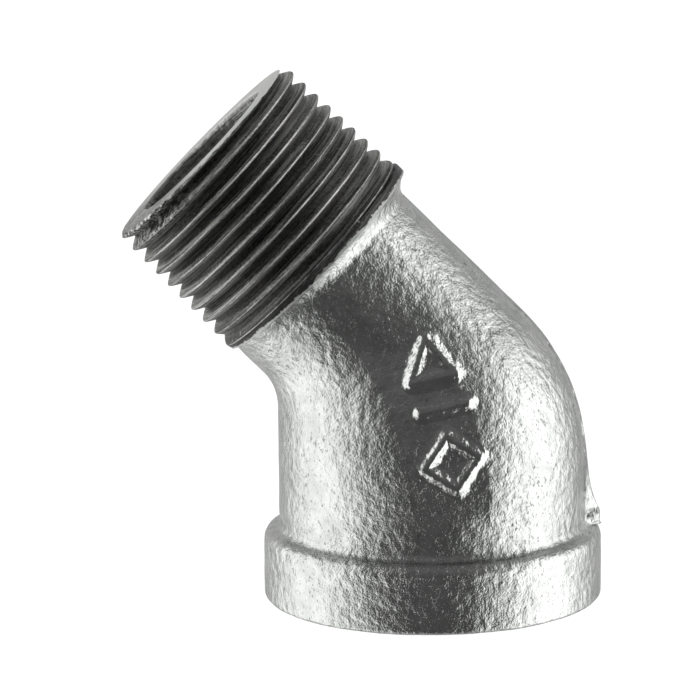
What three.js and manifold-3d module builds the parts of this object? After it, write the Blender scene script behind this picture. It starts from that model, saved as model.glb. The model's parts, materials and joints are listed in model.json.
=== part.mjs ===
// A 3/4 inch 45 degree street elbow: a galvanised malleable-iron pipe fitting with a taper-threaded
// spigot at one end and a banded, tapped socket at the other.
// The real fitting is one casting. It is divided here where its making divides it: the cast body,
// the band cast round the mouth, the tapped socket, the plain shoulder and threaded spigot that are
// turned on the casting, and the marks that stand on it.
// Millimetres, +Z up. The fitting stands on its band, and its bend lies in the XZ plane with the
// spigot leaning towards -X. The origin is the centre of the bounding box's underside.
import * as THREE from "three";
import { mergeVertices } from "three/addons/utils/BufferGeometryUtils.js";
import Module from "manifold-3d";

const wasm = await Module();
wasm.setup();

// Driving dimensions.
const BEND = Math.PI / 4; // angle that the spigot's axis makes with the socket's
const FACE_TO_CENTRE = 25.2; // mouth of the socket to where the two axes cross
const CENTRE_TO_END = 34.6; // where the axes cross to the spigot's end face
const SEAM = 0.1; // clearance between neighbouring regions of the one casting

const PITCH = 25.4 / 14; // 14 threads per inch
const TAPER = 1 / 32; // change of thread radius per unit of length, 1 in 16 on diameter
const THREAD_DEPTH = 0.72 * PITCH; // crest to root of a rounded 55 degree thread
const CREST_SHARE = 0.2; // share of the pitch that each blunted crest or root takes
const THREAD_SIDES = 36; // facets in one turn of a thread
const CUT_PAST = 1; // how far a cutting shape reaches past the face that it cuts

const BAND_RADIUS = 18.5;
const BAND_HEIGHT = 7.65;
const BAND_TOP_EASE = 1.2; // rounding of the band's upper outer edge
const BAND_FOOT_EASE = 0.5; // rounding of its lower outer edge
const TOP_EASE_STEPS = 4;
const FOOT_EASE_STEPS = 3;

const BODY_RADIUS = 16.7;
const BODY_SIDES = 40;
const BODY_STEPS = 26;
const THROAT_FILLET = 6.1; // radius of the concave side of the bend
const HEEL_RADIUS = 23.3; // radius of the convex side of the bend
const NECK_THROAT = 12.75; // neck to spigot axis, on the throat side
const NECK_HEEL = 11.7; // neck to spigot axis, on the heel side
const FOOT_FLARE = 0.7; // how far the body spreads where it meets the band
const FOOT_FLARE_HEIGHT = 1.1;
const HEEL_RIB = 1.7; // how far the rib down the heel stands out where it meets the band
const HEEL_RIB_FULL = 9.1; // height up to which it does so
const HEEL_RIB_FADE = 2.9; // height over which it falls to about a third
const HEEL_RIB_SHARPNESS = 50; // higher is narrower

const CAVITY_RADIUS = 13; // waterway above the tapped socket
const CAVITY_THROAT_FILLET = 3.9;
const CAVITY_HEEL_RADIUS = 19.4;
const CAVITY_SIDES = 36;
const CAVITY_STEPS = 18;
const BORE_RADIUS = 8.45; // waterway through the spigot

const SOCKET_RADIUS = 14.4; // outside of the tapped region
const SOCKET_DEPTH = 14.2;
const FEMALE_MAJOR = 13.22; // radius at the bottom of the internal thread, at the mouth
const MOUTH_CHAMFER_RADIUS = 13.7;

const SHOULDER_FROM = 15.8; // along the spigot's axis from where the axes cross
const SHOULDER_TO = 17.55;
const SHOULDER_SPREAD = [0, 0.1, 0.32, 0.68, 1]; // share of its spread at even steps along it
const RIM_TO = 18.8; // end of the casting's uncut rim, which the last turn of thread runs into
const RIM_RADIUS = 13.1;
const RIM_OFFSET = 0.5; // the casting's rim stands off the thread's axis, towards the heel
const SPIGOT_END_RADIUS = 12.85; // thread crest at the end face
const FIRST_CREST = 33.55; // height of the ridge nearest the end face, on the heel side
const END_CHAMFER = 0.45;
const BORE_CHAMFER = 0.4;
const RUNOUT = 1.5 * PITCH; // length over which the spigot's thread fades out
const RUNOUT_DEPTH = 0.15; // share of the full depth that is left where the fade ends

const MARK_CLEAR = 0.1; // gap below a raised mark
const MARK_HEIGHT = 0.7;
const MARK_TILT = 0.2; // turn of the marks on the side of the body, from upright
const MARK_CURVE_STEPS = 5;
const LOZENGE_AT = [2, 18.3]; // x and height of its centre
const LOZENGE_OUTER = [3.8, 4]; // half width and half height
const LOZENGE_INNER = [1.9, 2];
const BAR_AT = [1.2, 24];
const BAR_HALF_LENGTH = 2.5;
const BAR_END_RADIUS = 0.7;
const TRIANGLE_AT = [-0.2, 28.3];
const TRIANGLE_OUTER = 4; // centre to corner
const TRIANGLE_INNER = 1.5;

const ironCasting = new THREE.MeshStandardMaterial({
  color: 0xa9adad,
  roughness: 0.38,
  metalness: 0.9,
});
const cutIron = new THREE.MeshStandardMaterial({
  color: 0x3b3b3a,
  roughness: 0.42,
  metalness: 0.85,
});

// The bend plane holds points as Vector2 (x, z), with the socket's axis on x = 0 and its mouth on z = 0.
const spigotDirection = new THREE.Vector2(-Math.sin(BEND), Math.cos(BEND));
const spigotOutward = new THREE.Vector2(Math.cos(BEND), Math.sin(BEND));

function besideSpigot(along, offset) {
  return new THREE.Vector2(0, FACE_TO_CENTRE)
    .addScaledVector(spigotDirection, along)
    .addScaledVector(spigotOutward, offset);
}

// One side of the bend: up beside the socket's axis at x = offset, round an arc, then along the
// spigot at its own offset. The arc turns through the bend's angle and is tangent to both lines.
function bendSide(x, spigotOffset, radius, fromHeight, toAlong) {
  const cornerAlong = (spigotOffset * spigotOutward.x - x) / -spigotDirection.x;
  const corner = besideSpigot(cornerAlong, spigotOffset);
  const tangent = radius * Math.tan(BEND / 2);
  const arcStart = new THREE.Vector2(x, corner.y - tangent);
  const arcCentre = new THREE.Vector2(x - radius, arcStart.y);
  const path = new THREE.CurvePath();
  path.add(new THREE.LineCurve(new THREE.Vector2(x, fromHeight), arcStart));
  path.add(new THREE.EllipseCurve(arcCentre.x, arcCentre.y, radius, radius, 0, BEND));
  path.add(
    new THREE.LineCurve(
      besideSpigot(cornerAlong + tangent, spigotOffset),
      besideSpigot(toAlong, spigotOffset),
    ),
  );
  return path;
}

// A closed solid from rings of points, each ring going round the same way, capped by fans.
function skin(rings) {
  const sides = rings[0].length;
  const points = rings.flat();
  const triangles = [];
  for (let step = 0; step + 1 < rings.length; step++) {
    for (let side = 0; side < sides; side++) {
      const next = (side + 1) % sides;
      const a = step * sides + side;
      const b = step * sides + next;
      const c = a + sides;
      const d = b + sides;
      triangles.push(a, b, d, a, d, c);
    }
  }
  [0, rings.length - 1].forEach((ring, end) => {
    const centre = rings[ring]
      .reduce((sum, p) => sum.add(p), new THREE.Vector3())
      .divideScalar(sides);
    const apex = points.push(centre) - 1;
    for (let side = 0; side < sides; side++) {
      const a = ring * sides + side;
      const b = ring * sides + ((side + 1) % sides);
      triangles.push(...(end ? [a, b, apex] : [b, a, apex]));
    }
  });
  return new THREE.BufferGeometry().setFromPoints(points).setIndex(triangles);
}

// A tube that follows the bend: at each step a circle stands on a line from throat to heel.
function bentTube({ throat, heel, steps, sides, grow = 0, flare = () => 0 }) {
  const rings = [];
  for (let step = 0; step <= steps; step++) {
    const low = throat.getPointAt(step / steps);
    const high = heel.getPointAt(step / steps);
    const centre = low.clone().add(high).multiplyScalar(0.5);
    const across = high.clone().sub(low).multiplyScalar(0.5);
    const radius = across.length() + grow;
    across.normalize();
    const ring = [];
    for (let side = 0; side < sides; side++) {
      const angle = (2 * Math.PI * side) / sides;
      const height = centre.y + across.y * radius * Math.cos(angle);
      const reach = radius + flare(height, angle);
      ring.push(
        new THREE.Vector3(
          centre.x + across.x * reach * Math.cos(angle),
          reach * Math.sin(angle),
          centre.y + across.y * reach * Math.cos(angle),
        ),
      );
    }
    rings.push(ring);
  }
  return skin(rings);
}

// Where the body meets its band it spreads a little all round. A narrow rib runs down the heel, on
// the casting's parting line, and widens into the band.
function footFlare(height, angle) {
  const foot = FOOT_FLARE * Math.max(0, 1 - (height - BAND_HEIGHT) / FOOT_FLARE_HEIGHT) ** 2;
  const fade = Math.exp(-Math.max(0, height - HEEL_RIB_FULL) / HEEL_RIB_FADE);
  const narrow = Math.max(0, Math.cos(angle)) ** HEEL_RIB_SHARPNESS;
  return Math.max(foot, HEEL_RIB * fade * narrow);
}

function bodyShape(grow) {
  const from = BAND_HEIGHT + SEAM;
  return bentTube({
    throat: bendSide(-BODY_RADIUS, -NECK_THROAT, THROAT_FILLET, from, SHOULDER_FROM - SEAM),
    heel: bendSide(BODY_RADIUS, NECK_HEEL, HEEL_RADIUS, from, SHOULDER_FROM - SEAM),
    steps: BODY_STEPS,
    sides: BODY_SIDES,
    grow,
    flare: footFlare,
  });
}

function cavityShape() {
  const from = SOCKET_DEPTH - CUT_PAST;
  const to = SHOULDER_TO;
  return bentTube({
    throat: bendSide(-CAVITY_RADIUS, -BORE_RADIUS, CAVITY_THROAT_FILLET, from, to),
    heel: bendSide(CAVITY_RADIUS, BORE_RADIUS, CAVITY_HEEL_RADIUS, from, to),
    steps: CAVITY_STEPS,
    sides: CAVITY_SIDES,
  });
}

// A solid of revolution about +Z from its (radius, height) outline, given from the lower end up.
function turned(outline, sides = BODY_SIDES) {
  const lathe = new THREE.LatheGeometry(
    outline.map(([radius, height]) => new THREE.Vector2(radius, height)),
    sides,
  );
  return lathe.rotateX(Math.PI / 2);
}

// A quarter-round of radius `ease` about (radius, height), as (radius, height) points.
function easedCorner({ radius, height, ease, fromAngle, steps }) {
  return Array.from({ length: steps + 1 }, (_, step) => {
    const angle = fromAngle + ((Math.PI / 2) * step) / steps;
    return [radius + ease * Math.cos(angle), height + ease * Math.sin(angle)];
  });
}

// One turn of a thread, row by row: share of a pitch along the rod, and share of the depth below the
// crest.
const threadRows = [
  [-CREST_SHARE / 2, 0],
  [CREST_SHARE / 2, 0],
  [0.5 - CREST_SHARE / 2, 1],
  [0.5 + CREST_SHARE / 2, 1],
];

// A store of points on a helix. The point at the end of a row, once round the rod, is the first
// point of the same row one turn up, so the rows close on one another.
function helixPoints(bottom, crest, depth) {
  const points = [];
  const indexOf = new Map();
  const at = (row, side) => {
    if (side === THREAD_SIDES) {
      return at(row + threadRows.length, 0);
    }
    const key = row * THREAD_SIDES + side;
    if (!indexOf.has(key)) {
      const [share, sunk] = threadRows[row % threadRows.length];
      const turn = Math.floor(row / threadRows.length) + share + side / THREAD_SIDES;
      const height = bottom + turn * PITCH;
      const radius = crest(height) - sunk * depth(height);
      const angle = (2 * Math.PI * side) / THREAD_SIDES;
      points.push(new THREE.Vector3(radius * Math.cos(angle), radius * Math.sin(angle), height));
      indexOf.set(key, points.length - 1);
    }
    return indexOf.get(key);
  };
  return { points, at };
}

// The loop round one end of the helix: once round the rod, then back down the step to the start.
function helixEnd(at, row) {
  const loop = [];
  for (let side = 0; side <= THREAD_SIDES; side++) {
    loop.push(at(row, side));
  }
  for (let step = threadRows.length - 1; step > 0; step--) {
    loop.push(at(row + step, 0));
  }
  return loop;
}

// A right-hand threaded rod about +Z that reaches from below `from` to above `to`. Its ridge crosses
// the XZ plane, on the +X side, at height `ridge`. crest(height) is the radius over the ridge and
// depth(height) the depth of the groove.
function threadedRod({ from, to, ridge, crest, depth }) {
  const turnsBelow = Math.ceil((ridge - from) / PITCH) + 2;
  const bottom = ridge - turnsBelow * PITCH;
  const turns = Math.ceil((to - bottom) / PITCH) + 1;
  const rows = turns * threadRows.length;
  const { points, at } = helixPoints(bottom, crest, depth);
  const triangles = [];
  for (let row = 0; row < rows; row++) {
    for (let side = 0; side < THREAD_SIDES; side++) {
      const [a, b] = [at(row, side), at(row, side + 1)];
      const [c, d] = [at(row + 1, side), at(row + 1, side + 1)];
      triangles.push(a, b, d, a, d, c);
    }
  }
  const low = helixEnd(at, 0);
  const high = helixEnd(at, rows);
  const under = points.push(new THREE.Vector3(0, 0, bottom - PITCH)) - 1;
  const over = points.push(new THREE.Vector3(0, 0, bottom + (turns + 2) * PITCH)) - 1;
  low.forEach((a, i) => triangles.push(low[(i + 1) % low.length], a, under));
  high.forEach((a, i) => triangles.push(a, high[(i + 1) % high.length], over));
  return new THREE.BufferGeometry().setFromPoints(points).setIndex(triangles);
}

function solidOf(geometry) {
  const bare = geometry.clone();
  bare.deleteAttribute("normal");
  bare.deleteAttribute("uv");
  const merged = mergeVertices(bare, 1e-4);
  return new wasm.Manifold(
    new wasm.Mesh({
      numProp: 3,
      vertProperties: merged.attributes.position.array,
      triVerts: new Uint32Array(merged.index.array),
    }),
  );
}

function geometryOf(solid) {
  const mesh = solid.getMesh();
  const geometry = new THREE.BufferGeometry();
  geometry.setAttribute("position", new THREE.BufferAttribute(mesh.vertProperties, 3));
  geometry.setIndex(new THREE.BufferAttribute(mesh.triVerts, 1));
  geometry.computeVertexNormals();
  return geometry;
}

function named(name, solid, material) {
  const mesh = new THREE.Mesh(geometryOf(solid), material);
  mesh.name = name;
  return mesh;
}

function castBody() {
  const seat = turned([
    [0, 0],
    [SOCKET_RADIUS + SEAM, 0],
    [SOCKET_RADIUS + SEAM, SOCKET_DEPTH + SEAM],
    [0, SOCKET_DEPTH + SEAM],
  ]);
  const shell = solidOf(bodyShape(0)).subtract(solidOf(cavityShape())).subtract(solidOf(seat));
  return named("cast_body", shell, ironCasting);
}

function socketBand() {
  const inner = SOCKET_RADIUS + SEAM;
  const foot = easedCorner({
    radius: BAND_RADIUS - BAND_FOOT_EASE,
    height: BAND_FOOT_EASE,
    ease: BAND_FOOT_EASE,
    fromAngle: -Math.PI / 2,
    steps: FOOT_EASE_STEPS,
  });
  const top = easedCorner({
    radius: BAND_RADIUS - BAND_TOP_EASE,
    height: BAND_HEIGHT - BAND_TOP_EASE,
    ease: BAND_TOP_EASE,
    fromAngle: 0,
    steps: TOP_EASE_STEPS,
  });
  const outline = [[inner, 0], ...foot, ...top, [inner, BAND_HEIGHT], [inner, 0]];
  return named("socket_band", solidOf(turned(outline)), ironCasting);
}

function femaleThread() {
  const sleeve = turned([
    [0, 0],
    [SOCKET_RADIUS, 0],
    [SOCKET_RADIUS, SOCKET_DEPTH],
    [0, SOCKET_DEPTH],
  ]);
  const tap = threadedRod({
    from: 0,
    to: SOCKET_DEPTH,
    ridge: 0,
    crest: (z) => FEMALE_MAJOR - z * TAPER,
    depth: () => THREAD_DEPTH,
  });
  const countersink = turned([
    [0, -CUT_PAST],
    [MOUTH_CHAMFER_RADIUS + CUT_PAST, -CUT_PAST],
    [MOUTH_CHAMFER_RADIUS - THREAD_DEPTH, THREAD_DEPTH],
    [0, THREAD_DEPTH],
  ]);
  const solid = solidOf(sleeve).subtract(solidOf(tap)).subtract(solidOf(countersink));
  return named("female_thread", solid, cutIron);
}

// The spigot's own pieces stand about +Z, with +X towards the heel, from where the axes cross. This
// is a circle that reaches `throat` and `heel` from that axis.
function disc(height, throat, heel) {
  const radius = (throat + heel) / 2;
  const centre = (heel - throat) / 2;
  return Array.from({ length: BODY_SIDES }, (_, side) => {
    const angle = (2 * Math.PI * side) / BODY_SIDES;
    return new THREE.Vector3(centre + radius * Math.cos(angle), radius * Math.sin(angle), height);
  });
}

// The waterway from below `from` to past the end face, whose inner edge it breaks.
function spigotBore(from) {
  const outline = [
    [0, from - CUT_PAST],
    [BORE_RADIUS, from - CUT_PAST],
    [BORE_RADIUS, CENTRE_TO_END - BORE_CHAMFER],
    [BORE_RADIUS + BORE_CHAMFER + CUT_PAST, CENTRE_TO_END + CUT_PAST],
    [0, CENTRE_TO_END + CUT_PAST],
  ];
  return solidOf(turned(outline, CAVITY_SIDES));
}

// The neck spreads into the rim, and more on the heel side, where the rim stands out further.
function threadShoulder() {
  const throat = RIM_RADIUS - RIM_OFFSET;
  const heel = RIM_RADIUS + RIM_OFFSET;
  const stride = (SHOULDER_TO - SHOULDER_FROM) / (SHOULDER_SPREAD.length - 1);
  const rings = SHOULDER_SPREAD.map((share, step) =>
    disc(
      SHOULDER_FROM + stride * step,
      NECK_THROAT + (throat - NECK_THROAT) * share,
      NECK_HEEL + (heel - NECK_HEEL) * share,
    ),
  );
  const solid = solidOf(skin(rings)).subtract(spigotBore(SHOULDER_FROM));
  return named("thread_shoulder", solid, ironCasting);
}

function maleThread() {
  const from = SHOULDER_TO + SEAM;
  const rod = threadedRod({
    from,
    to: CENTRE_TO_END,
    ridge: FIRST_CREST,
    crest: (z) => SPIGOT_END_RADIUS + (CENTRE_TO_END - z) * TAPER,
    depth: (z) => THREAD_DEPTH * Math.min(1, Math.max(RUNOUT_DEPTH, (z - from) / RUNOUT)),
  });
  const clear = RIM_RADIUS + CUT_PAST;
  const endRadius = SPIGOT_END_RADIUS - END_CHAMFER;
  const blank = turned([
    [0, from],
    [clear, from],
    [clear, CENTRE_TO_END - (clear - endRadius)],
    [endRadius, CENTRE_TO_END],
    [0, CENTRE_TO_END],
  ]);
  const rimSides = [RIM_RADIUS - RIM_OFFSET, RIM_RADIUS + RIM_OFFSET];
  const rim = skin([disc(from, ...rimSides), disc(RIM_TO, ...rimSides)]);
  const solid = solidOf(rod)
    .intersect(solidOf(blank))
    .add(solidOf(rim))
    .subtract(spigotBore(from));
  return named("male_thread", solid, cutIron);
}

// Plain raised marks on the near side of the body. Each is an outline, drawn upright round its own
// centre, that is pushed through the body's side and kept only between two skins over the body.
function lozenge() {
  const outline = (width, height) => [
    new THREE.Vector2(width, 0),
    new THREE.Vector2(0, height),
    new THREE.Vector2(-width, 0),
    new THREE.Vector2(0, -height),
  ];
  const shape = new THREE.Shape(outline(...LOZENGE_OUTER));
  shape.holes.push(new THREE.Path(outline(...LOZENGE_INNER).reverse()));
  return shape;
}

function bar() {
  const shape = new THREE.Shape();
  shape.absarc(BAR_HALF_LENGTH, 0, BAR_END_RADIUS, -Math.PI / 2, Math.PI / 2, false);
  shape.absarc(-BAR_HALF_LENGTH, 0, BAR_END_RADIUS, Math.PI / 2, (3 * Math.PI) / 2, false);
  return shape;
}

function triangle() {
  const corners = (radius) =>
    [0, 1, 2].map((turn) => {
      const angle = Math.PI / 2 + (turn * 2 * Math.PI) / 3;
      return new THREE.Vector2(radius * Math.cos(angle), radius * Math.sin(angle));
    });
  const shape = new THREE.Shape(corners(TRIANGLE_OUTER));
  shape.holes.push(new THREE.Path(corners(TRIANGLE_INNER).reverse()));
  return shape;
}

function raisedMark(name, shape, [x, height]) {
  const punch = new THREE.ExtrudeGeometry(shape, {
    depth: BAND_RADIUS,
    bevelEnabled: false,
    curveSegments: MARK_CURVE_STEPS,
  });
  punch.rotateZ(MARK_TILT).rotateX(Math.PI / 2).translate(x, 0, height);
  const skinOver = solidOf(bodyShape(MARK_HEIGHT));
  const clearance = solidOf(bodyShape(MARK_CLEAR));
  return named(name, solidOf(punch).intersect(skinOver).subtract(clearance), ironCasting);
}

const fitting = new THREE.Group();
fitting.add(castBody(), socketBand(), femaleThread());
fitting.add(raisedMark("mark_lozenge", lozenge(), LOZENGE_AT));
fitting.add(raisedMark("mark_bar", bar(), BAR_AT));
fitting.add(raisedMark("mark_triangle", triangle(), TRIANGLE_AT));

const spigot = new THREE.Group();
spigot.add(threadShoulder(), maleThread());
spigot.position.set(0, 0, FACE_TO_CENTRE);
spigot.rotation.y = -BEND;
fitting.add(spigot);

// The origin goes under the middle of the whole fitting.
fitting.updateMatrixWorld(true);
const box = new THREE.Box3().setFromObject(fitting, true);
fitting.position.x = -(box.min.x + box.max.x) / 2;

const part = new THREE.Group();
part.add(fitting);

export default part;
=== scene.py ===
"""A galvanised 45 degree street elbow, made as fine surfaces round its fixed engineering model.

The cast regions are swept and turned shapes with a sand-cast skin. The two threads are cut by one
Geometry Nodes tree. Lengths in this file are millimetres until a mesh is made, which is in metres.
"""

import json
import math
from types import SimpleNamespace

import bmesh
import bpy
import numpy as np
from mathutils import Matrix, Vector
from mathutils.bvhtree import BVHTree


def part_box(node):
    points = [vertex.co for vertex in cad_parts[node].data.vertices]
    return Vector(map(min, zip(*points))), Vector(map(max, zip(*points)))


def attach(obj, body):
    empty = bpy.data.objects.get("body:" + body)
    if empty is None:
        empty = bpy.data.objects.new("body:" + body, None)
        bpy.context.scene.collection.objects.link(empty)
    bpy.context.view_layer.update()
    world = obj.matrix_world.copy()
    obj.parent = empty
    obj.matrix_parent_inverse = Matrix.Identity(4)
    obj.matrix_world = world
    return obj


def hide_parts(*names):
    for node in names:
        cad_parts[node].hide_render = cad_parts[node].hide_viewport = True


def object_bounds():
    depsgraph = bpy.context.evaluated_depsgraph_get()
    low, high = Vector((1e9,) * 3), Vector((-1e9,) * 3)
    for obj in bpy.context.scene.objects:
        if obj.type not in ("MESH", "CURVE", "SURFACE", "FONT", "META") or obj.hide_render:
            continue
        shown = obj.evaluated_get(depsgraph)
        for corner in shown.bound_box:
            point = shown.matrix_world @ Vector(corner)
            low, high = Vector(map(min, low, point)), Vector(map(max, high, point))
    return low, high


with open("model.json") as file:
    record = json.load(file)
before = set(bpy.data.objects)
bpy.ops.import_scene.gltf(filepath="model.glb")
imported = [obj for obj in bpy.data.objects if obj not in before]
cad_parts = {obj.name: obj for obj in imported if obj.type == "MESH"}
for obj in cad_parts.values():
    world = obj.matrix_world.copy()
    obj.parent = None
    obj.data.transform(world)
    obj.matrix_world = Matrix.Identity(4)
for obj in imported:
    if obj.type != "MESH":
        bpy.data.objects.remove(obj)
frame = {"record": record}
cad_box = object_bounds()

MM = 0.001

# ---------------------------------------------------------------- the frame's own dimensions

band_low, band_high = (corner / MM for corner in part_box("socket_band"))
socket_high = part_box("female_thread")[1] / MM
spigot_low, spigot_high = (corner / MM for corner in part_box("male_thread"))
spigot_mount = next(m for m in frame["record"]["mounts"] if m["name"] == "spigot_face")

AXIS_X = (band_low.x + band_high.x) / 2  # where the socket's axis stands
BAND_RADIUS = (band_high.x - band_low.x) / 2
BAND_HEIGHT = band_high.z
SOCKET_RADIUS = socket_high.y
SOCKET_DEPTH = socket_high.z
BEND = math.atan2(-spigot_mount["axis"][0], spigot_mount["axis"][2])
CENTRE = Vector((AXIS_X, 0, spigot_high.z + spigot_low.x - AXIS_X))  # where the two axes cross
SPIGOT_AXIS = Vector(spigot_mount["axis"])
SPIGOT_END = (Vector(spigot_mount["pos_m"]) / MM - CENTRE).dot(SPIGOT_AXIS)

# ---------------------------------------------------------------- driving dimensions

PITCH = 25.4 / 14
TAPER = 1 / 32
THREAD_DEPTH = 0.72 * PITCH

BODY_RADIUS = 16.7
THROAT_FILLET = 6.1
HEEL_RADIUS = 23.3
NECK_THROAT = 12.75
NECK_HEEL = 11.7
NECK_END = 15.75

BAND_FOOT_EASE = 0.5
FOOT_FILLET = 0.95  # radius of the hollow between body and band
FOOT_TILT = math.radians(80)  # how far the skin has turned towards flat where the two meet
BAND_TOP_EASE = (BAND_RADIUS - BODY_RADIUS) / (1 - math.cos(FOOT_TILT)) - FOOT_FILLET
PAD_FACING = -83.0  # degrees round the body from the heel, at the middle of the marks' flat pad
PAD_HALF_WIDTH = 4.2
PAD_LOW, PAD_HIGH, PAD_FADE = 11.0, 33.0, 4.0
HEEL_RIB = 1.65
HEEL_RIB_FULL = 9.1
HEEL_RIB_FADE = 2.9
HEEL_RIB_WIDTH = 0.95
PARTING_LINE = 0.1  # height of the flash left along the parting line
PARTING_WIDTH = 0.5

CAVITY_RADIUS = 13.0
CAVITY_THROAT_FILLET = 3.9
CAVITY_HEEL_RADIUS = 19.4
BORE_RADIUS = 8.45

SHOULDER_TO = 17.55
RIM_TO = 18.9
RIM_RADIUS = 13.1
RIM_OFFSET = 0.5
SPIGOT_END_RADIUS = 12.85
END_CHAMFER = 0.45
FIRST_CREST = 33.55
RUN_OUT = 2 * PITCH  # length over which the thread fades into the rim

KNOCKED_TURN = 0.57  # how far round the spigot its end has been knocked, as a share of a turn
KNOCK_CORE, KNOCK_REACH = 0.08, 0.2  # shares of a turn to either side of it
KNOCK_START, KNOCK_FULL = 1.5, 0.9  # pitches back from the end
KNOCK_DEPTH = 0.2
NO_RIM = -5.0  # a height below the whole of a thread that has no rim

FEMALE_MAJOR = 13.22
MOUTH_RADIUS = 13.7

MARK_HEIGHT = 0.55
MARK_TILT = 0.2
MARK_STROKE = 0.68  # from a stroke's middle to halfway down its side
MARK_REACH = 1.5  # from a stroke's middle to where the mark has sunk into the body
MARK_SUNK = 0.06  # how far a stroke's edge lies under the skin
MARK_SMOOTHING = 0.8  # share of the skin's roughness that a stroke's top loses
MARK_ROUNDING = 2.5  # lower makes a rounder stroke
MARK_UNDERSIDE = 0.35
MARK_SPACING = 0.11
LOZENGE_MIDDLE = 2.9  # centre to corner, along the middle of the strokes
BAR_HALF_LENGTH = 2.5
TRIANGLE_MIDDLE = 2.75

AROUND = 400  # points round the casting
ALONG = 150  # steps along the bend
FOOT_STEPS = 26  # steps over its first share, where it turns out to meet the band
FOOT_SHARE = 0.07
FOOT_CROWDING = 1.6  # above 1 brings those steps closer together near the band
BAND_SPACING = 0.27  # most distance between points down the band's outline
RIM_STEPS = 14
RIM_FLARE = 0.8  # lower keeps the neck straight for longer before it spreads
TEAR_AT = 0.9  # how far in front of the parting line the torn flash lies
HEEL_FROM, HEEL_FULL = 8, 10  # how far from the socket's axis that flash starts, and is full
CREASE = 40  # degrees, past which an edge is shaded sharp
SQUARE_ON = 0.999  # least Z of the normal of a face that is square to a thread's axis

# ---------------------------------------------------------------- finishes

STREAK_ANGLE = math.radians(35)  # the way that the zinc ran off, from upright
STREAK_STRETCH = 0.6  # lower makes longer streaks
ZINC_BUMP = 0.07
THREAD_BUMP = 0.09

ZINC = (0.68, 0.685, 0.68, 1)
DULL_ZINC = (0.57, 0.58, 0.57, 1)
PIT_GREY = (0.1, 0.1, 0.1, 1)
DARK_IRON = (0.5, 0.495, 0.48, 1)
BLACK_IRON = (0.08, 0.08, 0.08, 1)
SCALE_BLACK = (0.04, 0.04, 0.04, 1)
# Bare bright metal, also used to paint the highlight along the thread crests
BRIGHT_IRON_AND_GLINT = (0.85, 0.85, 0.84, 1)


# ---------------------------------------------------------------- the bend's two sides


def beside_spigot(along, offset):
    """A point (x, z) of the bend plane, from the socket's axis and mouth."""
    sine, cosine = math.sin(BEND), math.cos(BEND)
    return np.array([-along * sine + offset * cosine, CENTRE.z + along * cosine + offset * sine])


def bend_side(x, offset, radius, from_height, to_along, shares):
    """Points on one side of the bend: straight up, round an arc, then along the spigot."""
    sine, cosine = math.sin(BEND), math.cos(BEND)
    corner_along = (offset * cosine - x) / sine
    corner = beside_spigot(corner_along, offset)
    tangent = radius * math.tan(BEND / 2)
    rise = corner[1] - tangent - from_height
    arc = radius * BEND
    run = to_along - corner_along - tangent
    distance = np.asarray(shares) * (rise + arc + run)
    turn = np.clip((distance - rise) / radius, 0, BEND)
    before = np.minimum(distance, rise)
    after = np.maximum(distance - rise - arc, 0)
    return np.stack(
        [
            x - radius + radius * np.cos(turn) - after * sine,
            from_height + before + radius * np.sin(turn) + after * cosine,
        ],
        axis=-1,
    )


def bent_tube(throat, heel, around, flare=None):
    """Rings of points for circles that stand between two sides of the bend."""
    angle = np.linspace(0, 2 * math.pi, around, endpoint=False)
    centre = (throat + heel) / 2
    across = (heel - throat) / 2
    radius = np.linalg.norm(across, axis=1, keepdims=True)
    across = across / radius
    height = centre[:, 1:] + across[:, 1:] * radius * np.cos(angle)
    reach = radius + (flare(height, angle) if flare else 0)
    return np.stack(
        [
            AXIS_X + centre[:, :1] + across[:, :1] * reach * np.cos(angle),
            reach * np.sin(angle),
            centre[:, 1:] + across[:, 1:] * reach * np.cos(angle),
        ],
        axis=-1,
    )


def foot_flare(height, angle):
    """What stands out from the bare bend: the fillet over the band, the rib down the heel and
    the flash at the parting line, less the marks' flat pad."""
    rise = height - BAND_HEIGHT
    hollow = np.clip(FOOT_FILLET * math.sin(FOOT_TILT) - rise, 0, None)
    foot = FOOT_FILLET - np.sqrt(np.maximum(FOOT_FILLET**2 - hollow**2, 0))
    fade = np.exp(-np.maximum(height - HEEL_RIB_FULL, 0) / HEEL_RIB_FADE)
    side = BODY_RADIUS * np.sin(angle)
    rib = HEEL_RIB * fade * np.exp(-((side / HEEL_RIB_WIDTH) ** 2)) * (np.cos(angle) > 0)
    flash = PARTING_LINE * np.exp(-((side / PARTING_WIDTH) ** 2))
    return np.hypot(foot, rib) + flash - pad_depth(height, angle)


def pad_depth(height, angle):
    """How much a flat pad for the raised marks takes off the round of the body's near side."""
    across = BODY_RADIUS * np.cos(angle - math.radians(PAD_FACING))
    flat = BODY_RADIUS * math.cos(math.asin(PAD_HALF_WIDTH / BODY_RADIUS))
    beyond = np.maximum(across - flat, 0)
    rising = np.clip((height - PAD_LOW) / PAD_FADE, 0, 1)
    falling = np.clip((PAD_HIGH - height) / PAD_FADE, 0, 1)
    fade = rising * falling
    return beyond * fade * fade * (3 - 2 * fade)


# ---------------------------------------------------------------- meshes


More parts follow.
